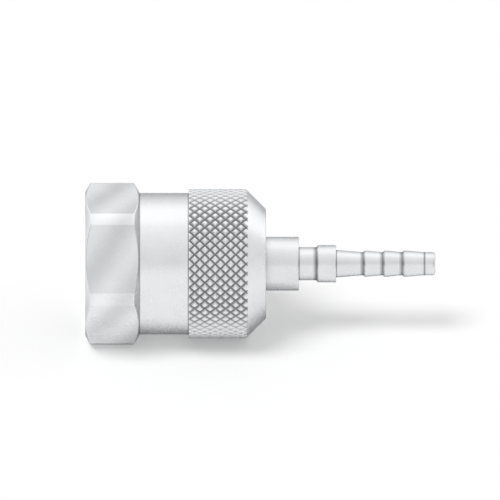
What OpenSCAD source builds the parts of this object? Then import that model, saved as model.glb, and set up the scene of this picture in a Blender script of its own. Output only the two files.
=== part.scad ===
// Test point coupling: a union nut with a hexagon and a diamond knurl, which swivels on a barbed hose stem.
// The axis of the part lies along X. X is zero at the open face of the nut and grows towards the hose end.
// Z points up, and one flat of the hexagon faces straight down.

/* [Thread and bore of the nut] */
// Outside diameter of the metric thread that the nut screws onto
thread_d = 16; // [14:0.5:16]
// Pitch of that thread
thread_pitch = 2; // [1.5:0.25:2]
// Depth of the plain recess in front of the thread
entry_l = 2.6; // [2:0.1:4]
// How much wider than the thread that recess is, on the radius
entry_step = 0.75; // [0.5:0.05:0.75]
// Depth of the threaded bore, up to its conical bottom
bore_l = 18; // [17:0.25:18.5]
// Angle between the axis and the conical bottom, half of the angle of the drill point
cone_angle = 60; // [55:1:65]

/* [Outside of the nut] */
// Length of the nut
nut_l = 23.5; // [23.5:0.25:26]
// Width of the hexagon across its flats
hex_af = 19; // [19:0.5:22]
// Length of the hexagon
hex_l = 7; // [5:0.5:9]
// How far the corners of the hexagon are turned down, on the radius
corner_cut = 0.47; // [0.2:0.03:0.6]
// Thickness of the wall of the barrel, measured from the outside of the thread
barrel_wall = 1.2; // [0.9:0.1:1.2]
// Where the knurl starts, measured from the open face
knurl_x = 13.45; // [12:0.25:15]
// How far the knurl stands above the barrel, on the radius
knurl_rise = 0.5; // [0.4:0.05:0.8]
// Number of diamonds around the knurl
knurl_count = 48; // [36:2:54]
// Number of half diamonds along the knurl
knurl_rows = 11; // [7:2:13]
// Height of the bevel at the hose end of the nut
rear_bevel = 2.6; // [1.5:0.1:2.6]

/* [Swivel] */
// Diameter of the land that the nut turns on
land_d = 7; // [6:0.2:7.6]
// Radial clearance between that land and the nut
swivel_clearance = 0.06; // [0.02:0.01:0.1]
// Gap between the conical seats of the nut and the stem
seat_gap = 0.05; // [0.03:0.01:0.1]
// Diameter of the collar that the nut draws against the test point
collar_d = 9; // [8.6:0.2:11]
// Length of the round part of the collar
collar_l = 2.4; // [1.6:0.1:3]
// Length of the land, from the conical seat to the shoulder behind the nut
land_l = 7.8; // [7:0.2:9]

/* [Probe] */
// Diameter of the probe pin that opens the valve of the test point
probe_d = 3.5; // [3:0.1:4.4]
// How far the probe stands in front of the collar
probe_l = 8; // [6:0.25:9]
// Diameter of the flat end of the probe
tip_d = 2.1; // [1.8:0.1:2.5]
// Length of the rounded nose behind that flat end
tip_l = 1.65; // [1.4:0.05:2.2]
// Radius of the curve of the nose
tip_curve_r = 5.5; // [4:0.25:8]
// Width of the slot across the end of the probe
slot_w = 1.05; // [0.7:0.05:1.2]
// Depth of that slot
slot_depth = 0.5; // [0.3:0.05:0.8]
// Diameter of the bore through the whole stem
oil_bore_d = 1.2; // [0.8:0.1:1.4]

/* [Hose tail] */
// Diameter of the neck that holds the lip of the hose ferrule
neck_d = 4.3; // [4:0.1:4.6]
// Length of the neck
neck_l = 2.25; // [1.5:0.25:3]
// Diameter of the stop collar behind the neck
stop_d = 4.85; // [4.75:0.05:5.6]
// Length of the stop collar, with its bevel
stop_l = 2.6; // [1.8:0.1:3.4]
// Bevel on the front edge of the stop collar
stop_bevel = 0.28; // [0.1:0.03:0.4]
// Diameter of the tail where it leaves the stop collar
tail_d = 3.6; // [3.5:0.05:4]
// Length of the plain taper in front of the barbs
tail_l = 3.5; // [2:0.25:5]
// Diameter of the tail at the root of each barb
root_d = 3; // [2.8:0.05:3.1]
// Diameter over the crest of each barb
barb_d = 3.45; // [3.35:0.05:3.8]
// Number of barbs
barb_count = 3; // [1:1:5]
// Distance between one barb and the next
barb_pitch = 2.55; // [2:0.05:3.2]
// Length of the steep front of each barb
barb_front_l = 0.28; // [0.2:0.02:0.4]
// Length of the last barb, from its root to the plain end
last_barb_l = 2.9; // [2:0.1:3.5]
// Length of the plain end
end_l = 1.4; // [1:0.1:2.5]
// Radius of the rounded edge of the plain end
end_round_r = 0.35; // [0.2:0.05:0.5]

/* [Hidden] */
round_fn = 128;
overlap = 1;
nose_steps = 8;
edge_steps = 6;

// Nut: radii and stations along X
thread_r = thread_d / 2;
tap_r = thread_r - thread_pitch / 2;
entry_r = thread_r + entry_step;
mouth_flare = 0.15;
mouth_l = 0.75;
thread_chamfer_l = (thread_r - tap_r) / tan(cone_angle);
nut_bore_r = land_d / 2 + swivel_clearance;
cone_end_x = bore_l + (tap_r - nut_bore_r) / tan(cone_angle);
hex_r = hex_af / sqrt(3);
corner_r = hex_r - corner_cut;
hex_face_step = 0.15;
hex_chamfer_angle = 30;
hex_face_r = hex_af / 2 - hex_face_step;
hex_chamfer_l = (corner_r - hex_face_r) * tan(hex_chamfer_angle);
barrel_r = thread_r + barrel_wall;
knurl_r = barrel_r + knurl_rise;
rear_r = knurl_r - rear_bevel;
knurl_end_x = nut_l - rear_bevel;

// Knurl: the grooves stay above the barrel, and both ends of the band dive below it.
// The crests are flat diamonds, crest_share of a half pitch to each side of their middle.
groove_share = 0.4;
groove_r = barrel_r + groove_share * knurl_rise;
buried_depth = 0.1;
buried_r = barrel_r - buried_depth;
crest_share = 0.45;
knurl_front_l = 0.1;
knurl_rear_l = knurl_rise;
half_pitch = (knurl_end_x - knurl_x - knurl_front_l) / knurl_rows;
half_turn = 180 / knurl_count;

// Stem: radii and stations along X
seat_shift = seat_gap / sin(cone_angle);
seat_x = bore_l - seat_shift + (tap_r - collar_d / 2) / tan(cone_angle);
land_x = bore_l - seat_shift + (tap_r - land_d / 2) / tan(cone_angle);
collar_x = seat_x - collar_l;
tip_x = collar_x - probe_l;
shoulder_x = land_x + land_l;
stop_x = shoulder_x + neck_l;
tail_x = stop_x + stop_l;
barb_x = tail_x + tail_l;
plain_x = barb_x + (barb_count - 1) * barb_pitch + last_barb_l;
stem_end_x = plain_x + end_l;
bore_edge = 0.15;

// Points of a round curve of radius r that bulges outwards from p to q
function bulge(p, q, r, steps) =
    let (
        chord = q - p,
        inward = [chord.y, -chord.x] / norm(chord),
        centre = (p + q) / 2 + inward * sqrt(r * r - chord * chord / 4),
        from = atan2(p.y - centre.y, p.x - centre.x),
        to = atan2(q.y - centre.y, q.x - centre.x)
    )
    [
        for (i = [0:steps])
            let (a = from + (to - from) * i / steps)
                centre + r * [cos(a), sin(a)]
    ];

// Turns an outline of [x, radius] points about the X axis
module turned(outline) {
    rotate([0, 90, 0])
        rotate_extrude($fn = round_fn)
            polygon([for (p = outline) [p.y, p.x]]);
}

// Hexagon with chamfered ends and turned corners
module hexagon() {
    intersection() {
        translate([-overlap, 0, 0])
            rotate([0, 90, 0])
                rotate([0, 0, 30])
                    cylinder(h = hex_l + 2 * overlap, r = hex_r, $fn = 6);
        turned([
            [0, 0],
            [0, hex_face_r],
            [hex_chamfer_l, corner_r],
            [hex_l - hex_chamfer_l, corner_r],
            [hex_l, hex_face_r],
            [hex_l, 0]
        ]);
    }
}

// Plain barrel, running on under the knurl to the bevel at the hose end
module barrel() {
    turned([
        [hex_l - overlap, 0],
        [hex_l - overlap, barrel_r],
        [nut_l - barrel_r + rear_r, barrel_r],
        [nut_l, rear_r],
        [nut_l, 0]
    ]);
}

// Diamond knurl: a band of flat-topped pyramids between two sets of crossed helical grooves.
// Row i lies at i half pitches along X. In each row, groove crossings and pyramids alternate.
module knurl() {
    n = knurl_count;
    rows = knurl_rows;
    function spot(x, half_turns, r) = [x, r * cos(half_turns * half_turn), r * sin(half_turns * half_turn)];
    function row_x(i) = knurl_x + knurl_front_l + i * half_pitch;
    function low(i, k) = i * n + (k + n) % n;
    function top(i, k, side) = (rows + 1) * n + 4 * (i * n + k) + side;
    function front_ring(k) = 5 * (rows + 1) * n + (k + n) % n;
    function rear_ring(k) = 5 * (rows + 1) * n + n + (k + n) % n;
    function slope(a, b, c, d) = [[a, b, c], [a, c, d]];

    crossings = [for (i = [0:rows], k = [0:n - 1]) spot(row_x(i), 2 * k + i % 2, groove_r)];
    crests = [
        for (i = [0:rows], k = [0:n - 1])
            let (x = row_x(i), turn = 2 * k + 1 - i % 2)
                each [
                    spot(x + crest_share * half_pitch, turn, knurl_r),
                    spot(x, turn + crest_share, knurl_r),
                    spot(x - crest_share * half_pitch, turn, knurl_r),
                    spot(x, turn - crest_share, knurl_r)
                ]
    ];
    rings = concat(
        [for (k = [0:n - 1]) spot(knurl_x, 2 * k, buried_r)],
        [for (k = [0:n - 1]) spot(knurl_end_x + knurl_rear_l, 2 * k + rows % 2, buried_r)]
    );

    faces = [
        for (i = [0:rows], k = [0:n - 1])
            let (
                before = low(i, k - i % 2),
                after = low(i, k + 1 - i % 2),
                ahead = low(i + 1, k),
                behind = low(i - 1, k),
                top_ahead = top(i, k, 0),
                top_after = top(i, k, 1),
                top_behind = top(i, k, 2),
                top_before = top(i, k, 3)
            )
                each concat(
                    i < rows ? slope(before, ahead, top_ahead, top_before) : [],
                    i < rows ? slope(ahead, after, top_after, top_ahead) : [],
                    i > 0 ? slope(after, behind, top_behind, top_after) : [],
                    i > 0 ? slope(behind, before, top_before, top_behind) : [],
                    i < rows ? [[top_before, top_ahead, top_after]] : [],
                    i > 0 ? [[top_before, top_after, top_behind]] : []
                )
    ];
    front_end = [
        for (k = [0:n - 1])
            let (a = front_ring(k), b = front_ring(k + 1))
                each concat(
                    [
                        [a, low(0, k), top(0, k, 3)],
                        [b, top(0, k, 1), low(0, k + 1)]
                    ],
                    slope(a, top(0, k, 3), top(0, k, 1), b)
                )
    ];
    rear_end = [
        for (k = [0:n - 1])
            let (
                shift = rows % 2,
                a = rear_ring(k - shift),
                b = rear_ring(k + 1 - shift)
            )
                each concat(
                    [
                        [low(rows, k - shift), a, top(rows, k, 3)],
                        [top(rows, k, 1), b, low(rows, k + 1 - shift)]
                    ],
                    slope(top(rows, k, 3), a, b, top(rows, k, 1))
                )
    ];
    inside = [
        for (k = [0:n - 1])
            each slope(front_ring(k + 1), rear_ring(k + 1), rear_ring(k), front_ring(k))
    ];
    polyhedron(
        points = concat(crossings, crests, rings),
        faces = concat(faces, front_end, rear_end, inside)
    );
}

// Everything bored out of the nut: recess, thread bore, drill cone and swivel bore
module nut_bore() {
    turned([
        [-overlap, 0],
        [-overlap, entry_r + mouth_flare],
        [0, entry_r + mouth_flare],
        [mouth_l, entry_r],
        [entry_l, entry_r],
        [entry_l, thread_r],
        [entry_l + thread_chamfer_l, tap_r],
        [bore_l, tap_r],
        [cone_end_x, nut_bore_r],
        [nut_l + overlap, nut_bore_r],
        [nut_l + overlap, 0]
    ]);
}

module union_nut() {
    color([0.80, 0.81, 0.82])
        difference() {
            union() {
                hexagon();
                barrel();
                knurl();
            }
            nut_bore();
        }
}

// Turned stem: probe, collar, land, neck, stop collar and barbed tail
module stem_blank() {
    turned(concat(
        [[tip_x, 0]],
        bulge([tip_x, tip_d / 2], [tip_x + tip_l, probe_d / 2], tip_curve_r, nose_steps),
        [
            [collar_x, probe_d / 2],
            [collar_x, collar_d / 2],
            [seat_x, collar_d / 2],
            [land_x, land_d / 2],
            [shoulder_x, land_d / 2],
            [shoulder_x, neck_d / 2],
            [stop_x, neck_d / 2],
            [stop_x + stop_bevel, stop_d / 2],
            [tail_x, stop_d / 2],
            [tail_x, tail_d / 2]
        ],
        [
            for (i = [0:barb_count - 1])
                let (x = barb_x + i * barb_pitch)
                    each [[x, root_d / 2], [x + barb_front_l, barb_d / 2]]
        ],
        [[plain_x, root_d / 2]],
        bulge(
            [stem_end_x - end_round_r, root_d / 2],
            [stem_end_x, root_d / 2 - end_round_r],
            end_round_r,
            edge_steps
        ),
        [[stem_end_x, 0]]
    ));
}

// Bore through the stem, with a small bevel where it leaves the tail
module stem_bore() {
    turned([
        [tip_x - overlap, 0],
        [tip_x - overlap, oil_bore_d / 2],
        [stem_end_x - bore_edge, oil_bore_d / 2],
        [stem_end_x, oil_bore_d / 2 + bore_edge],
        [stem_end_x + overlap, oil_bore_d / 2 + bore_edge],
        [stem_end_x + overlap, 0]
    ]);
}

// Slot across the end of the probe, which lets the fluid reach the bore
module tip_slot() {
    translate([tip_x - overlap, -probe_d / 2, -slot_w / 2])
        cube([overlap + slot_depth, probe_d, slot_w]);
}

module hose_stem() {
    color([0.76, 0.77, 0.78])
        difference() {
            stem_blank();
            stem_bore();
            tip_slot();
        }
}

hose_stem();
union_nut();
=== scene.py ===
import math

import bmesh
import bpy
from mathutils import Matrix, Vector


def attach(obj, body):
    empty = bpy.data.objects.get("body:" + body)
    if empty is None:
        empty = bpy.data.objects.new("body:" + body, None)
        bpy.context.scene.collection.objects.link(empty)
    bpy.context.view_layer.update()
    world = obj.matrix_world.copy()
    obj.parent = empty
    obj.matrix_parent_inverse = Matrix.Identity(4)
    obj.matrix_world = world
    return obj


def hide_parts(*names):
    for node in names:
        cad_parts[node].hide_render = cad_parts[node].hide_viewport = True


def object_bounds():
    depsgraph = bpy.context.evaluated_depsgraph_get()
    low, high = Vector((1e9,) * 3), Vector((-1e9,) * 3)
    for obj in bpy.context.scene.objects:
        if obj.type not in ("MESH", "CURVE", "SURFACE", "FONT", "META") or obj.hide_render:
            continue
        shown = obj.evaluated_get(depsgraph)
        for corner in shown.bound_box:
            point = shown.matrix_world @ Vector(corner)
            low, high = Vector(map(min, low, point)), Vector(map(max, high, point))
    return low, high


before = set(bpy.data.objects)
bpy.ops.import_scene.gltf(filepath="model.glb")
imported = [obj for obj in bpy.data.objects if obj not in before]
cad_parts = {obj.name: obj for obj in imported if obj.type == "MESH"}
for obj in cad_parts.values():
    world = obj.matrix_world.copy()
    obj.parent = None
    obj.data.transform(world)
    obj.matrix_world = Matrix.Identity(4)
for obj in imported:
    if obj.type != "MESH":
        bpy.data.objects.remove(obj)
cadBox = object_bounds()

# Test point coupling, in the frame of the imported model. X runs along the axis from the open face of the
# nut to the hose end, and Z is up. Lengths in this script are in millimetres and angles in degrees.
mm = 0.001
hexSides = 6
cornerSteps = 3
pointsPerCorner = cornerSteps + 1
scene = bpy.context.scene
scene.view_settings.view_transform = "Standard"


# An outline is a list of corners (x, radius, softness). A soft corner becomes a short curve of steps + 1
# points, which takes no more than mostOfEdge of the edges beside it.
def softened(corners, steps=cornerSteps, mostOfEdge=0.45):
    points = []
    for i, (x, radius, softness) in enumerate(corners):
        here = Vector((x, radius))
        if not softness or i in (0, len(corners) - 1):
            points.append(here)
            continue
        back = Vector(corners[i - 1][:2]) - here
        on = Vector(corners[i + 1][:2]) - here
        reach = min(softness, mostOfEdge * back.length, mostOfEdge * on.length)
        start, end = here + back.normalized() * reach, here + on.normalized() * reach
        for s in range(steps + 1):
            t = s / steps
            points.append(start * (1 - t) ** 2 + here * 2 * t * (1 - t) + end * t ** 2)
    return points


# Points on a round curve of the given radius that bulges outwards between two points of an outline
def bulged(start, end, radius, steps):
    start, end = Vector(start), Vector(end)
    chord = end - start
    inward = Vector((chord.y, -chord.x)).normalized()
    centre = (start + end) / 2 + inward * math.sqrt(radius ** 2 - chord.length_squared / 4)
    first = math.atan2(start.y - centre.y, start.x - centre.x)
    last = math.atan2(end.y - centre.y, end.x - centre.x)
    curve = []
    for s in range(steps + 1):
        a = first + (last - first) * s / steps
        curve.append((centre.x + radius * math.cos(a), centre.y + radius * math.sin(a), 0))
    return curve


# More points along the straight stretches of an outline, none further apart than the given length
def divided(points, longest):
    result = [points[0]]
    for point in points[1:]:
        start = result[-1]
        count = max(1, math.ceil((point - start).length / longest))
        result += [start.lerp(point, s / count) for s in range(1, count + 1)]
    return result


def spot(bm, x, radius, degrees):
    a = math.radians(degrees)
    return bm.verts.new((x * mm, radius * math.cos(a) * mm, radius * math.sin(a) * mm))


# A ring of points round the axis for each point of an outline
def rings(bm, outline, columns):
    return [[spot(bm, p.x, p.y, i * 360 / columns) for i in range(columns)] for p in outline]


# Faces between rings of points; finishOf names the material slot of each, splitOf its diagonal
def joinRings(bm, rows, finishOf=None, splitOf=None):
    count = len(rows[0])
    for i in range(len(rows) - 1):
        for j in range(count):
            k = (j + 1) % count
            a, b, c, d = rows[i][j], rows[i][k], rows[i + 1][k], rows[i + 1][j]
            split = splitOf(i, j) if splitOf else None
            if split == "rising":
                loops = [(a, b, c), (a, c, d)]
            elif split == "falling":
                loops = [(a, b, d), (b, c, d)]
            else:
                loops = [(a, b, c, d)]
            for loop in loops:
                bm.faces.new(loop).material_index = finishOf(i, j) if finishOf else 0


# A flat ring between a fine circle of points and a coarse one
def joinFlat(bm, fine, coarse):
    step = len(fine) // len(coarse)
    for j, point in enumerate(coarse):
        arc = [fine[(j * step + s) % len(fine)] for s in range(step + 1)]
        bm.faces.new([coarse[(j + 1) % len(coarse)], point] + arc)


# A new object in the scene that holds a mesh, a lamp or a camera
def addObject(name, data):
    thing = bpy.data.objects.new(name, data)
    scene.collection.objects.link(thing)
    return thing


def meshObject(bm, name):
    mesh = bpy.data.meshes.new(name)
    bm.to_mesh(mesh)
    bm.free()
    return addObject(name, mesh)


# Smooth shading, with a hard line at each steep edge and where the two finishes in hardBetween meet
def finishedPiece(bm, name, materials, sharpAngle, hardBetween=()):
    sameSpot = 0.0001
    bmesh.ops.remove_doubles(bm, verts=bm.verts, dist=sameSpot * mm)
    bmesh.ops.recalc_face_normals(bm, faces=bm.faces)
    for face in bm.faces:
        face.smooth = True
    for edge in bm.edges:
        finishes = {face.material_index for face in edge.link_faces}
        steep = edge.calc_face_angle(0.0) > math.radians(sharpAngle)
        edge.smooth = not (steep or finishes == set(hardBetween))
    piece = meshObject(bm, name)
    for material in materials:
        piece.data.materials.append(material)
    return piece


# Large faces keep flat shading up to their soft edges
def evenShading(piece):
    normals = piece.modifiers.new("evenShading", "WEIGHTED_NORMAL")
    normals.mode = "FACE_AREA"
    normals.keep_sharp = True


# Each input of a node takes a fixed value or the output of another node
def plugIn(tree, node, inputs):
    for key, value in inputs.items():
        if isinstance(value, bpy.types.NodeSocket):
            tree.links.new(value, node.inputs[key])
        else:
            node.inputs[key].default_value = value


def addNode(tree, kind, inputs=None, **settings):
    node = tree.nodes.new(kind)
    for key, value in settings.items():
        setattr(node, key, value)
    plugIn(tree, node, inputs or {})
    return node


# One step of arithmetic on numbers and outputs
def worked(tree, operation, *terms):
    return addNode(tree, "ShaderNodeMath", dict(enumerate(terms)), operation=operation).outputs[0]


# The first of two numbers or outputs at share 0, and the second at share 1
def mixed(tree, share, first, second):
    inputs = {"Factor": share, 2: first, 3: second}
    return addNode(tree, "ShaderNodeMix", inputs, data_type="FLOAT").outputs[0]


# Runs from low to high while the source runs from fromLow to fromHigh
def spread(tree, source, low, high, fromLow=0.0, fromHigh=1.0, clamped=True):
    inputs = {"Value": source, "From Min": fromLow, "From Max": fromHigh, "To Min": low, "To Max": high}
    return addNode(tree, "ShaderNodeMapRange", inputs, clamp=clamped).outputs["Result"]


def newMaterial(name):
    material = bpy.data.materials.new(name)
    material.use_nodes = True
    return material, material.node_tree, material.node_tree.nodes["Principled BSDF"]


steel = {
    "nutColor": (0.80, 0.81, 0.82),
    "stemColor": (0.76, 0.77, 0.78),
    "colorSpread": 0.03, "cloudsPerMm": 0.35, "cloudRange": (0.3, 0.7),
    "lineGloss": 0.35, "drawnStretch": 0.03,
    # the band length, start and tones set the painted sheen bands on the hexagon flats
    "sheenBandLength": 6.8, "sheenBandStart": 2.1, "sheenBandTones": (0.85, 1.07),
    # the oil values set both thin oil and painted shade in inner corners and grooves
    "oilAndShadeColor": (0.16, 0.16, 0.165), "oilAndShadeDarkness": 0.8, "oilAndShadeWidth": 0.2, "barbOilAndShadeWidth": 0.45,
    "turned": {
        "roughness": (0.24, 0.32), "linesPerMm": 2.6, "relief": 0.0024, "edgeColor": (0.44, 0.44, 0.45)},
    "drawn": {
        "roughness": (0.24, 0.32), "linesPerMm": 3.5, "relief": 0.0016, "edgeColor": (0.44, 0.44, 0.45)},
    "knurled": {
        "roughness": (0.28, 0.36), "linesPerMm": 2.5, "relief": 0.0015, "edgeColor": (0.22, 0.22, 0.23)},
    "bored": {
        "roughness": (0.32, 0.40), "linesPerMm": 2.6, "relief": 0.0030, "edgeColor": (0.44, 0.44, 0.45)},
}


# Where the surface lies: its place, the parts of that along X, Y and Z, and its distance from the axis
def surfacePlace(tree):
    place = addNode(tree, "ShaderNodeTexCoord").outputs["Object"]
    parts = addNode(tree, "ShaderNodeSeparateXYZ", {"Vector": place}).outputs
    across = addNode(tree, "ShaderNodeCombineXYZ", {"Y": parts["Y"], "Z": parts["Z"]}).outputs[0]
    radius = addNode(tree, "ShaderNodeVectorMath", {0: across}, operation="LENGTH").outputs["Value"]
    return place, parts, radius


# What the fine marks follow: rings round the axis, or lines along it on the drawn flats
def markPlace(tree, way, parts, radius):
    inputs = {"X": parts["X"], "Y": radius}
    if way == "drawn":
        slow = worked(tree, "MULTIPLY", parts["X"], steel["drawnStretch"])
        inputs = {"X": slow, "Y": parts["Y"], "Z": parts["Z"]}
    return addNode(tree, "ShaderNodeCombineXYZ", inputs).outputs["Vector"]


def noise(tree, place, perMm, detail, roughness):
    inputs = {"Vector": place, "Scale": perMm / mm, "Detail": detail, "Roughness": roughness}
    return addNode(tree, "ShaderNodeTexNoise", inputs).outputs["Fac"]


# The colour of the plating, a little paler and a little darker in soft clouds
def platedColor(tree, color, clouds):
    change = steel["colorSpread"]
    darker = [c * (1 - change) for c in color]
    paler = [min(1, c * (1 + change)) for c in color]
    share = spread(tree, clouds, 0.0, 1.0, *steel["cloudRange"])
    inputs = {"Factor": share, 6: (*darker, 1), 7: (*paler, 1)}
    return addNode(tree, "ShaderNodeMix", inputs, data_type="RGBA").outputs[2]


# Painted sheen: soft bright and dull bands, painted into the colour, that cross each flat of the hexagon
# at a slant, one wave to a flat
def paintedSheenBands(tree, parts, color):
    turn = worked(tree, "ARCTAN2", parts["Z"], parts["Y"])
    around = worked(tree, "MULTIPLY", turn, hexSides)
    start, end = steel["sheenBandStart"] * mm, (steel["sheenBandStart"] + steel["sheenBandLength"]) * mm
    along = spread(tree, parts["X"], 0.0, 2 * math.pi, start, end, clamped=False)
    wave = worked(tree, "COSINE", worked(tree, "ADD", around, along))
    tone = spread(tree, wave, *steel["sheenBandTones"], -1.0, 1.0)
    inputs = {0: color, "Scale": tone}
    return addNode(tree, "ShaderNodeVectorMath", inputs, operation="SCALE").outputs[0]


# Thin oil and painted shade darken the colour, as far as the amount goes
def oiledAndShaded(tree, color, amount):
    inputs = {"Factor": amount, 6: color, 7: (*steel["oilAndShadeColor"], 1)}
    return addNode(tree, "ShaderNodeMix", inputs, data_type="RGBA", blend_type="MULTIPLY").outputs[2]


# The oil and painted shade that lie in an inner corner of an outline and thin out over the width
def cornerOilAndShade(tree, marks, x, radius, width):
    inputs = {0: marks, 1: (x * mm, radius * mm, 0)}
    apart = addNode(tree, "ShaderNodeVectorMath", inputs, operation="DISTANCE").outputs["Value"]
    return spread(tree, apart, steel["oilAndShadeDarkness"], 0.0, 0.0, width * mm)


# Bright steel whose fine marks follow the way it was made: turned, drawn, knurled or bored. Oil and
# painted shade lie in its inner corners (x, radius, width), and between the two radii in grooves (deep,
# proud, darkness). Drawn flats get painted sheen bands.
def steelMaterial(name, color, way, grooves=None, corners=()):
    look = steel[way]
    material, tree, shader = newMaterial(name)
    place, parts, radius = surfacePlace(tree)
    marks = markPlace(tree, way, parts, radius)
    lines = noise(tree, marks, look["linesPerMm"], detail=2.0, roughness=0.6)
    clouds = noise(tree, place, steel["cloudsPerMm"], detail=3.0, roughness=0.55)

    surfaceColor = platedColor(tree, color, clouds)
    # painted sheen bands on the drawn hexagon flats
    if way == "drawn":
        surfaceColor = paintedSheenBands(tree, parts, surfaceColor)
    # oil and painted shade in the grooves and the inner corners
    if grooves:
        deep, proud, darkness = grooves
        surfaceColor = oiledAndShaded(tree, surfaceColor, spread(tree, radius, darkness, 0.0, deep * mm, proud * mm))
    for corner in corners:
        surfaceColor = oiledAndShaded(tree, surfaceColor, cornerOilAndShade(tree, marks, *corner))

    gloss = mixed(tree, steel["lineGloss"], clouds, lines)
    relief = {"Strength": 1.0, "Distance": look["relief"] * mm, "Height": lines}
    plugIn(tree, shader, {
        "Base Color": surfaceColor, "Metallic": 1.0,
        "Roughness": spread(tree, gloss, *look["roughness"], *steel["cloudRange"]),
        "Specular Tint": (*look["edgeColor"], 1),  # darker where it is seen at a grazing angle
        "Normal": addNode(tree, "ShaderNodeBump", relief).outputs["Normal"]})
    return material


# The nut turns on the land of the stem, and draws the conical seat of the stem up against its own
swivel = {"landRadius": 3.5, "clearance": 0.06, "coneAngle": 60.0, "seatGap": 0.05}


# How far along X the conical seat runs from one radius to a smaller one
def coneRun(outer, inner):
    return (outer - inner) / math.tan(math.radians(swivel["coneAngle"]))


print("making the union nut")
unionNut = {
    "length": 23.5,
    "hexFlats": 19.0, "hexLength": 7.0, "cornerCut": 0.47, "faceStep": 0.15, "chamferAngle": 30.0,
    "barrelWall": 1.2, "rearBevel": 2.6,
    "knurlStart": 13.45, "knurlLead": 0.1, "knurlRise": 0.5, "grooveShare": 0.4,
    "knurlCount": 48, "knurlRows": 11, "knurlSteps": 5,
    "knurlLevels": (0.03, 0.42, 0.80, 0.98, 1.0, 1.0),  # from groove (0) to crest (1), step by step
    "runOutReach": 0.5, "runOutShares": (0.5, 1.0), "overRunOut": 0.001, "plainBevelStart": 0.4,
    "mouthFlare": 0.15, "mouthLength": 0.75, "recessStep": 0.75, "recessLength": 2.6,
    "threadRadius": 8.0, "pitch": 2.0, "flankAngle": 30.0, "leadAngle": 60.0,
    "fullThreadEnd": 13.45, "threadEnd": 16.5, "afterThread": 0.1, "threadStep": 0.16,
    "boreLength": 18.0, "boreColumns": 160,
    "cornerColumns": 5, "edgeWidth": 0.35, "edgeDip": 0.007,  # at the turned corners of the hexagon
    "faceRim": 0.15, "mouthRim": 0.12, "rearRim": 0.3, "boreRim": 0.2,  # narrow rings on both end faces
    "soft": {
        "face": 0.07, "flat": 0.11, "step": 0.06, "knurl": 0.04, "rear": 0.12,
        "mouth": 0.06, "flare": 0.15, "recess": 0.1, "thread": 0.09, "cone": 0.12, "bore": 0.1},
    "sharpAngle": 42.0,
    # the knurl crests stay free of oil and painted shade, which darken the grooves
    "oilAndShadeFreeCrest": 0.06, "grooveDarkness": 0.6,
}
turned, drawn, knurled, bored = range(4)  # the finishes of the nut


# The values of the nut, with the radii and places along X that follow from them
def nutSizes(values):
    nut = dict(values)
    nut["cornerRadius"] = nut["hexFlats"] / math.sqrt(3) - nut["cornerCut"]
    nut["faceRadius"] = nut["hexFlats"] / 2 - nut["faceStep"]
    nut["barrelRadius"] = nut["threadRadius"] + nut["barrelWall"]
    nut["crestRadius"] = nut["barrelRadius"] + nut["knurlRise"]
    nut["grooveRadius"] = nut["barrelRadius"] + nut["knurlRise"] * nut["grooveShare"]
    nut["rearRadius"] = nut["crestRadius"] - nut["rearBevel"]
    nut["recessRadius"] = nut["threadRadius"] + nut["recessStep"]
    nut["mouthRadius"] = nut["recessRadius"] + nut["mouthFlare"]
    nut["tapRadius"] = nut["threadRadius"] - nut["pitch"] / 2
    nut["swivelRadius"] = swivel["landRadius"] + swivel["clearance"]
    nut["knurlEnd"] = nut["length"] - nut["rearBevel"]
    nut["firstRow"] = nut["knurlStart"] + nut["knurlLead"]
    nut["rowLength"] = (nut["knurlEnd"] - nut["firstRow"]) / nut["knurlRows"]
    nut["plainBore"] = nut["threadEnd"] + nut["afterThread"]
    nut["coneEnd"] = nut["boreLength"] + coneRun(nut["tapRadius"], nut["swivelRadius"])
    nut["columns"] = 2 * nut["knurlCount"] * nut["knurlSteps"]
    return nut


def zigzag(w):
    return abs(w - 2 * round(w / 2))


# Radius of the knurl at x, where turn counts half diamonds round the axis
def knurlRadius(nut, x, turn):
    levels = nut["knurlLevels"]
    along = (x - nut["firstRow"]) / nut["rowLength"]
    level = min(zigzag(along - turn), zigzag(along + turn)) * nut["knurlSteps"]
    low = min(int(level), nut["knurlSteps"] - 1)
    rise = levels[low] + (levels[low + 1] - levels[low]) * (level - low)
    return nut["grooveRadius"] + (nut["crestRadius"] - nut["grooveRadius"]) * rise


# Radius of the 45 degree bevel at x, and above the crests in front of it
def bevelRadius(nut, x):
    return nut["crestRadius"] - (x - nut["knurlEnd"])


# How far behind its last row the knurl runs out into the bevel: found by halving, and a hair over
def runOut(nut, turn, halvings=24):
    low, high = nut["knurlEnd"], nut["knurlEnd"] + nut["runOutReach"]
    for _ in range(halvings):
        middle = (low + high) / 2
        if knurlRadius(nut, middle, turn) > bevelRadius(nut, middle):
            high = middle
        else:
            low = middle
    return low - nut["knurlEnd"] + nut["overRunOut"]


# Angle and radius of a column on the hexagon; the columns bunch up at both edges of each turned corner
def hexColumn(nut, column):
    side = 360 / hexSides
    perSide = nut["columns"] // hexSides
    flatRadius, cornerRadius = nut["hexFlats"] / 2, nut["cornerRadius"]
    edge = side / 2 - math.degrees(math.acos(flatRadius / cornerRadius))
    before, after = edge - nut["edgeWidth"], edge + nut["edgeWidth"]
    corner, m = divmod(column, perSide)
    fromCorner = min(m, perSide - m)
    edgeColumn = nut["cornerColumns"] + 1
    if fromCorner < edgeColumn:
        away = before * fromCorner / nut["cornerColumns"]
    elif fromCorner == edgeColumn:
        away = edge
    else:
        onFlat = fromCorner - edgeColumn - 1
        away = after + (side / 2 - after) * onFlat / (perSide / 2 - edgeColumn - 1)
    radius = min(flatRadius / math.cos(math.radians(side / 2 - away)), cornerRadius)
    if fromCorner == edgeColumn:
        radius -= nut["edgeDip"]
    angle = corner * side + (away if m == fromCorner else side - away)
    return angle, radius


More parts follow.
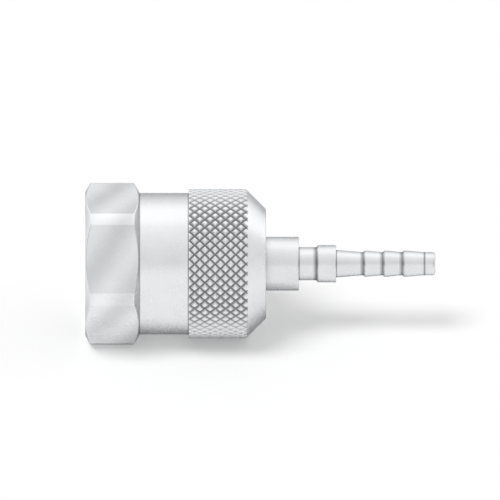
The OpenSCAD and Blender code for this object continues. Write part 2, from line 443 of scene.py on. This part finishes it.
# Outline of one column from a ring on the front face to the first row of the knurl
def frontOutline(nut, hexRadius, turn):
    face, barrel, soft = nut["faceRadius"], nut["barrelRadius"], nut["soft"]
    hexEnd, start, firstRow = nut["hexLength"], nut["knurlStart"], nut["firstRow"]
    chamfer = (hexRadius - face) * math.tan(math.radians(nut["chamferAngle"]))
    return softened([
        (0, face - nut["faceRim"], 0), (0, face, soft["face"]),
        (chamfer, hexRadius, soft["flat"]), (hexEnd - chamfer, hexRadius, soft["flat"]),
        (hexEnd, face, soft["step"]), (hexEnd, barrel, soft["step"]), (start, barrel, soft["step"]),
        (start, knurlRadius(nut, start, turn), soft["knurl"]),
        (firstRow, knurlRadius(nut, firstRow, turn), 0)])


# Outline of one column from behind the first row of the knurl to a ring on the rear face
def rearOutline(nut, turn):
    rows = nut["knurlRows"] * nut["knurlSteps"]
    first, last, rear = nut["firstRow"], nut["knurlEnd"], nut["rearRadius"]
    places = [first + (last - first) * k / rows for k in range(1, rows + 1)]
    places += [last + runOut(nut, turn) * share for share in nut["runOutShares"]]
    band = [Vector((x, min(knurlRadius(nut, x, turn), bevelRadius(nut, x)))) for x in places]
    bevel = last + nut["plainBevelStart"]
    return band + softened([
        (bevel, bevelRadius(nut, bevel), 0), (nut["length"], rear, nut["soft"]["rear"]),
        (nut["length"], rear - nut["rearRim"], 0)])


# The outside of the nut, with an outline for each column; returns its first and last rings
def nutOutside(bm, nut):
    hexPoints = 1 + 4 * pointsPerCorner  # the rim of the front face, and four corners on the hexagon
    flatRow = 2 * pointsPerCorner  # the long faces between both chamfers
    steps = nut["knurlSteps"]
    columns = []
    for column in range(nut["columns"]):
        hexAngle, hexRadius = hexColumn(nut, column)
        angle, turn = column * 360 / nut["columns"], column / steps
        front = frontOutline(nut, hexRadius, turn)
        points = front + rearOutline(nut, turn)
        columns.append([(p.x, p.y, hexAngle if i < hexPoints else angle) for i, p in enumerate(points)])
    rows = [[spot(bm, *column[i]) for column in columns] for i in range(len(columns[0]))]
    firstRow = len(front) - 1
    knurlRows = range(firstRow - 1, firstRow + nut["knurlRows"] * steps + len(nut["runOutShares"]))

    def finishOf(i, j):
        if i == flatRow:
            return drawn
        return knurled if i in knurlRows else turned

    # in the knurl, each face is split the way that the nearest groove runs
    def splitOf(i, j):
        if i not in knurlRows:
            return None
        return "falling" if ((i - firstRow) // steps + j // steps) % 2 else "rising"

    joinRings(bm, rows, finishOf, splitOf)
    return rows[0], rows[-1]


# One pitch of the inside thread as points (offset, radius), from one root to the next
def threadProfile(nut):
    root, crest, pitch = nut["threadRadius"], nut["tapRadius"], nut["pitch"]
    soft = nut["soft"]["thread"]
    halfRoot = pitch / 16  # the root flat of a metric thread is an eighth of its pitch
    flank = (root - crest) * math.tan(math.radians(nut["flankAngle"]))
    turn = softened([
        (-halfRoot - flank, crest, 0), (-halfRoot, root, soft), (halfRoot, root, soft),
        (halfRoot + flank, crest, soft), (pitch - halfRoot - flank, crest, soft),
        (pitch - halfRoot, root, 0)], steps=2)[1:-1]
    return divided(turn + [turn[0] + Vector((pitch, 0))], nut["threadStep"])[:-1]


# Radius of the thread at x, bevelled where it begins and fading where it runs out
def cutThread(nut, x, radius):
    root, tap = nut["threadRadius"], nut["tapRadius"]
    lead = root - (x - nut["recessLength"]) * math.tan(math.radians(nut["leadAngle"]))
    faded = (x - nut["fullThreadEnd"]) / (nut["threadEnd"] - nut["fullThreadEnd"])
    return max(min(radius, root - (root - tap) * faded), lead, tap)


# The thread is a grid that leans with the helix. Beyond either end it takes the points of the end ring
def nutThread(bm, nut, firstRing, lastRing):
    profile = threadProfile(nut)
    start, end, pitch = nut["recessLength"], nut["plainBore"], nut["pitch"]
    columns = nut["boreColumns"]
    rows = (math.ceil((end - start) / pitch) + 1) * len(profile)
    grid = [[] for _ in range(columns)]
    for i in range(columns):
        for k in range(rows + 1):
            turn, step = divmod(k, len(profile))
            x = start - pitch + pitch * (turn + i / columns) + profile[step].x - profile[0].x
            if x <= start:
                point = firstRing[i]
            elif x >= end:
                point = lastRing[i]
            else:
                point = spot(bm, x, cutThread(nut, x, profile[step].y), i * 360 / columns)
            grid[i].append(point)
    for i in range(columns):
        onward = grid[(i + 1) % columns]
        shift = 0 if i + 1 < columns else len(profile)  # the last column meets the first a pitch on
        for k in range(rows):
            a, b = onward[min(k + shift, rows)], onward[min(k + 1 + shift, rows)]
            loop = list(dict.fromkeys((grid[i][k], a, b, grid[i][k + 1])))
            if len(loop) > 2:
                bm.faces.new(loop).material_index = bored


# The inside of the nut; returns its first and last rings
def nutInside(bm, nut):
    mouth, recess = nut["mouthRadius"], nut["recessRadius"]
    tap, throat = nut["tapRadius"], nut["swivelRadius"]
    recessEnd, length, soft = nut["recessLength"], nut["length"], nut["soft"]
    mouthOutline = softened([
        (0, mouth + nut["mouthRim"], 0), (0, mouth, soft["mouth"]),
        (nut["mouthLength"], recess, soft["flare"]), (recessEnd, recess, soft["recess"]),
        (recessEnd, nut["threadRadius"], 0)])
    boreOutline = softened([
        (nut["plainBore"], tap, 0), (nut["boreLength"], tap, soft["cone"]),
        (nut["coneEnd"], throat, soft["bore"]), (length, throat, soft["bore"]),
        (length, throat + nut["boreRim"], 0)])
    front = rings(bm, mouthOutline, nut["boreColumns"])
    rear = rings(bm, boreOutline, nut["boreColumns"])
    joinRings(bm, front, lambda i, j: bored if i > pointsPerCorner else turned)
    joinRings(bm, rear, lambda i, j: bored)
    nutThread(bm, nut, front[-1], rear[0])
    return front[0], rear[-1]


def makeUnionNut(nut):
    bm = bmesh.new()
    outerFront, outerRear = nutOutside(bm, nut)
    innerFront, innerRear = nutInside(bm, nut)
    joinFlat(bm, outerFront, innerFront)
    joinFlat(bm, outerRear, innerRear)
    color = steel["nutColor"]
    # oil and painted shade in the inner corners beside the barrel and in the knurl grooves, darkest at
    # the groove bottoms
    cornerPlaces = nut["hexLength"], nut["knurlStart"]
    corners = [(x, nut["barrelRadius"], steel["oilAndShadeWidth"]) for x in cornerPlaces]
    grooves = nut["grooveRadius"], nut["crestRadius"] - nut["oilAndShadeFreeCrest"], nut["grooveDarkness"]
    materials = [
        steelMaterial("turnedNutSteel", color, "turned", corners=corners),
        steelMaterial("drawnHexagonSteel", color, "drawn"),
        steelMaterial("knurledSteel", color, "knurled", grooves=grooves),
        steelMaterial("boredNutSteel", color, "bored")]
    return finishedPiece(bm, "unionNut", materials, nut["sharpAngle"], hardBetween=(turned, knurled))


nut = nutSizes(unionNut)
nutPiece = makeUnionNut(nut)
evenShading(nutPiece)
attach(nutPiece, "nut")
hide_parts("union_nut")


print("making the hose stem")
hoseStem = {
    "probeRadius": 1.75, "probeLength": 8.0, "tipRadius": 1.05, "noseLength": 1.65, "noseCurve": 5.5,
    "slotWidth": 1.05, "slotDepth": 0.5,
    "collarRadius": 4.5, "collarLength": 2.4, "landLength": 7.8, "neckRadius": 2.15, "neckLength": 2.25,
    "stopRadius": 2.425, "stopLength": 2.6, "stopBevel": 0.28,
    "tailRadius": 1.8, "taperLength": 3.5, "rootRadius": 1.5,
    "barbCount": 3, "barbPitch": 2.55, "barbRadius": 1.725, "barbFront": 0.28, "lastBarbLength": 2.9,
    "plainLength": 1.4, "endRound": 0.35, "oilBoreRadius": 0.6, "boreEdge": 0.15,
    "columns": 128, "noseSteps": 8, "endSteps": 6,
    "soft": {
        "collar": 0.12, "seat": 0.1, "shoulder": 0.14, "neck": 0.1, "stop": 0.06, "stopEnd": 0.1,
        "tail": 0.08, "root": 0.03, "barb": 0.06, "plain": 0.05, "bore": 0.04},
    "sharpAngle": 35.0,
}


# The values of the stem, with the places along X that follow from them and from the seat in the nut
def stemSizes(values, nut):
    stem = dict(values)
    gapAlong = swivel["seatGap"] / math.sin(math.radians(swivel["coneAngle"]))
    stem["seat"] = nut["boreLength"] - gapAlong + coneRun(nut["tapRadius"], stem["collarRadius"])
    stem["land"] = stem["seat"] + coneRun(stem["collarRadius"], swivel["landRadius"])
    stem["collar"] = stem["seat"] - stem["collarLength"]
    stem["tip"] = stem["collar"] - stem["probeLength"]
    stem["shoulder"] = stem["land"] + stem["landLength"]
    stem["stop"] = stem["shoulder"] + stem["neckLength"]
    stem["tail"] = stem["stop"] + stem["stopLength"]
    firstBarb = stem["tail"] + stem["taperLength"]
    stem["barbs"] = [firstBarb + i * stem["barbPitch"] for i in range(stem["barbCount"])]
    stem["plainStart"] = stem["barbs"][-1] + stem["lastBarbLength"]
    stem["end"] = stem["plainStart"] + stem["plainLength"]
    return stem


# The closed outline of the stem: outside from the tip to the hose end, and back through the oil bore
def stemOutline(stem):
    probe, collar, land = stem["probeRadius"], stem["collarRadius"], swivel["landRadius"]
    neck, stop, root = stem["neckRadius"], stem["stopRadius"], stem["rootRadius"]
    bore, edge, rounding = stem["oilBoreRadius"], stem["boreEdge"], stem["endRound"]
    tip, end, soft = stem["tip"], stem["end"], stem["soft"]
    noseEnd = tip + stem["noseLength"], probe
    nose = bulged((tip, stem["tipRadius"]), noseEnd, stem["noseCurve"], stem["noseSteps"])
    body = [
        (stem["collar"], probe, soft["collar"]), (stem["collar"], collar, soft["collar"]),
        (stem["seat"], collar, soft["seat"]), (stem["land"], land, soft["seat"]),
        (stem["shoulder"], land, soft["shoulder"]), (stem["shoulder"], neck, soft["neck"]),
        (stem["stop"], neck, soft["stop"]), (stem["stop"] + stem["stopBevel"], stop, soft["stop"]),
        (stem["tail"], stop, soft["stopEnd"]), (stem["tail"], stem["tailRadius"], soft["tail"])]
    for x in stem["barbs"]:
        body += [(x, root, soft["root"]), (x + stem["barbFront"], stem["barbRadius"], soft["barb"])]
    body += [(stem["plainStart"], root, soft["plain"])]
    hoseEnd = bulged((end - rounding, root), (end, root - rounding), rounding, stem["endSteps"])
    hoseEnd += [(end, bore + edge, soft["bore"]), (end - edge, bore, soft["bore"])]
    return softened([(tip, bore, 0)] + nose + body + hoseEnd + [(tip, bore, 0)])


def makeHoseStem(stem):
    bm = bmesh.new()
    rows = rings(bm, stemOutline(stem)[:-1], stem["columns"])
    joinRings(bm, rows + [rows[0]])
    # oil and painted shade in the inner corners of the stem, wider at the stop and the barb roots
    thin, wide = steel["oilAndShadeWidth"], steel["barbOilAndShadeWidth"]
    corners = [
        (stem["collar"], stem["probeRadius"], thin), (stem["shoulder"], stem["neckRadius"], thin),
        (stem["stop"], stem["neckRadius"], wide), (stem["tail"], stem["tailRadius"], thin),
        (stem["plainStart"], stem["rootRadius"], thin)]
    corners += [(x, stem["rootRadius"], wide) for x in stem["barbs"]]
    material = steelMaterial("turnedStemSteel", steel["stemColor"], "turned", corners=corners)
    return finishedPiece(bm, "hoseStem", [material], stem["sharpAngle"])


# The slot across the end of the probe is cut with a bar, which is then taken away
def cutSlot(piece, stem):
    clear = 1.0  # how far the bar begins in front of the tip
    wider = 1.2  # how many times it is as wide as the probe
    bm = bmesh.new()
    bmesh.ops.create_cube(bm, size=1)
    size = Vector((clear + stem["slotDepth"], 2 * stem["probeRadius"] * wider, stem["slotWidth"]))
    middle = Vector((stem["tip"] + (stem["slotDepth"] - clear) / 2, 0, 0))
    for v in bm.verts:
        v.co = (middle + v.co * size) * mm
    cutter = meshObject(bm, "slotBar")
    cut = piece.modifiers.new("slot", "BOOLEAN")
    cut.object, cut.operation, cut.solver = cutter, "DIFFERENCE", "EXACT"
    bpy.context.view_layer.objects.active = piece
    with bpy.context.temp_override(object=piece, active_object=piece, selected_objects=[piece]):
        bpy.ops.object.modifier_apply(modifier=cut.name)
    bar = cutter.data
    bpy.data.objects.remove(cutter)
    bpy.data.meshes.remove(bar)
    piece.data.set_sharp_from_angle(angle=math.radians(stem["sharpAngle"]))


stem = stemSizes(hoseStem, nut)
stemPiece = makeHoseStem(stem)
cutSlot(stemPiece, stem)
evenShading(stemPiece)
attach(stemPiece, "stem")
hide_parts("hose_stem")


print("setting the floor, the light and the camera")
paleFloor = {"size": 3000.0, "color": 0.97, "glow": 0.25, "roughness": 0.9, "shine": 0.1}


# 1 for what the camera sees, also in gloss and through glass, and 0 for the light on the floor
def seenShare(tree):
    ray = addNode(tree, "ShaderNodeLightPath").outputs
    shown = worked(tree, "MAXIMUM", ray["Is Camera Ray"], ray["Is Glossy Ray"])
    return worked(tree, "MAXIMUM", shown, ray["Is Transmission Ray"])


# The floor lies under the part, glows a little where it is seen, and doesn't hide the part from below
def makeFloor():
    half, z = paleFloor["size"] / 2 * mm, cadBox[0][2]
    bm = bmesh.new()
    corners = (-half, -half), (half, -half), (half, half), (-half, half)
    bm.faces.new([bm.verts.new((x, y, z)) for x, y in corners])
    floor = meshObject(bm, "floor")
    material, tree, shader = newMaterial("paleFloor")
    grey = paleFloor["color"]
    plugIn(tree, shader, {
        "Base Color": (grey, grey, grey, 1), "Roughness": paleFloor["roughness"],
        "Specular IOR Level": paleFloor["shine"]})
    glow = addNode(tree, "ShaderNodeEmission", {"Color": (1, 1, 1, 1), "Strength": 1.0}).outputs[0]
    share = spread(tree, seenShare(tree), 0.0, paleFloor["glow"])
    above = addNode(tree, "ShaderNodeMixShader", {0: share, 1: shader.outputs[0], 2: glow}).outputs[0]
    below = addNode(tree, "ShaderNodeBsdfTransparent").outputs[0]
    side = addNode(tree, "ShaderNodeNewGeometry").outputs["Backfacing"]
    both = addNode(tree, "ShaderNodeMixShader", {0: side, 1: above, 2: below}).outputs[0]
    plugIn(tree, tree.nodes["Material Output"], {"Surface": both})
    floor.data.materials.append(material)
    return floor


room = {
    "onFloor": 0.55,
    "brightSide": (0.0, 0.42, 0.91), "brightest": 1.12, "dimmest": 0.86, "dimFrom": 0.2, "falloff": 1.6,
    "cornerDarkness": 0.5, "cornerX": (0.25, 0.75), "cornerY": (-0.4, 0.0), "cornerZ": (0.4, 0.8),
}


# The camera sees a white room, and the floor is lit by a plain one. The metal reflects a room that is
# brightest overhead and darker in its two front corners, so that its form shows from all sides.
def makeWorld():
    world = bpy.data.worlds.new("studio")
    scene.world = world
    world.use_nodes = True
    tree = world.node_tree
    place = addNode(tree, "ShaderNodeTexCoord").outputs["Generated"]
    bright = Vector(room["brightSide"]).normalized()
    toward = addNode(tree, "ShaderNodeVectorMath", {0: place, 1: bright}, operation="DOT_PRODUCT")
    nearness = spread(tree, toward.outputs["Value"], 0.0, 1.0, room["dimFrom"], 1.0)
    curved = worked(tree, "POWER", nearness, room["falloff"])
    shade = spread(tree, curved, room["dimmest"], room["brightest"])

    parts = addNode(tree, "ShaderNodeSeparateXYZ", {"Vector": place}).outputs
    sideways = worked(tree, "ABSOLUTE", parts["X"])
    aside = spread(tree, sideways, 0.0, room["cornerDarkness"], *room["cornerX"])
    front = spread(tree, parts["Y"], 1.0, 0.0, *room["cornerY"])
    low = spread(tree, parts["Z"], 1.0, 0.0, *room["cornerZ"])
    corner = worked(tree, "MULTIPLY", worked(tree, "MULTIPLY", aside, front), low)
    reflected = worked(tree, "MULTIPLY", shade, spread(tree, corner, 1.0, 0.0))

    camera = addNode(tree, "ShaderNodeLightPath").outputs["Is Camera Ray"]
    strength = mixed(tree, camera, mixed(tree, seenShare(tree), room["onFloor"], reflected), 1.0)
    plugIn(tree, tree.nodes["Background"], {"Color": (1, 1, 1, 1), "Strength": strength})


# In pixels of the photograph: its side, its scale, and where the axis and the open face lie in it
photo = {"side": 500, "pixelsPerMm": 7.69, "axisRow": 263.7, "openFaceColumn": 85.3}
view = {"elevation": 26.6, "distance": 300.0, "nearest": 1.0, "furthest": 10000.0}
middleOfView = Vector(((photo["side"] / 2 - photo["openFaceColumn"]) / photo["pixelsPerMm"], 0, 0))

sun = {"direction": (-0.35, -0.30, 0.90), "distance": 400.0, "strength": 1.75, "angle": 30.0}
# name: (direction from the object, distance, width, height, power)
metalLamps = {
    "overhead": (room["brightSide"], 320.0, 460.0, 250.0, 0.05),
    "front": ((0.0, -1.0, 0.16), 300.0, 500.0, 90.0, 0.025),
    "rightSide": ((0.73, 0.64, 0.30), 300.0, 200.0, 160.0, 0.045),
    "leftSide": ((-0.73, 0.64, 0.30), 300.0, 200.0, 160.0, 0.045),
}


def placeLight(name, light, direction, distance, forMetal):
    lamp = addObject(name, light)
    direction = Vector(direction).normalized()
    lamp.location = (middleOfView + direction * distance) * mm
    lamp.rotation_euler = direction.to_track_quat("Z", "Y").to_euler()
    lamp.visible_camera = False
    lamp.visible_glossy = forMetal
    lamp.visible_diffuse = not forMetal


# The sun lights the floor and casts the shadow, and the metal reflects four large soft lamps
def makeLights():
    light = bpy.data.lights.new("sun", "SUN")
    light.energy, light.angle = sun["strength"], math.radians(sun["angle"])
    placeLight("sun", light, sun["direction"], sun["distance"], forMetal=False)
    for name, (direction, distance, width, height, power) in metalLamps.items():
        light = bpy.data.lights.new(name, "AREA")
        light.shape = "RECTANGLE"
        light.size, light.size_y = width * mm, height * mm
        light.energy = power
        placeLight(name, light, direction, distance, forMetal=True)


def makeCamera():
    tilt = math.radians(view["elevation"])
    back = Vector((0, -math.cos(tilt), math.sin(tilt)))
    up = Vector((0, math.sin(tilt), math.cos(tilt)))
    data = bpy.data.cameras.new("camera")
    data.type = "ORTHO"
    data.ortho_scale = photo["side"] / photo["pixelsPerMm"] * mm
    data.clip_start, data.clip_end = view["nearest"] * mm, view["furthest"] * mm
    camera = addObject("camera", data)
    aim = middleOfView + up * (photo["axisRow"] - photo["side"] / 2) / photo["pixelsPerMm"]
    camera.location = (aim + back * view["distance"]) * mm
    camera.rotation_euler = back.to_track_quat("Z", "Y").to_euler()
    scene.camera = camera


makeFloor()
makeWorld()
makeLights()
makeCamera()
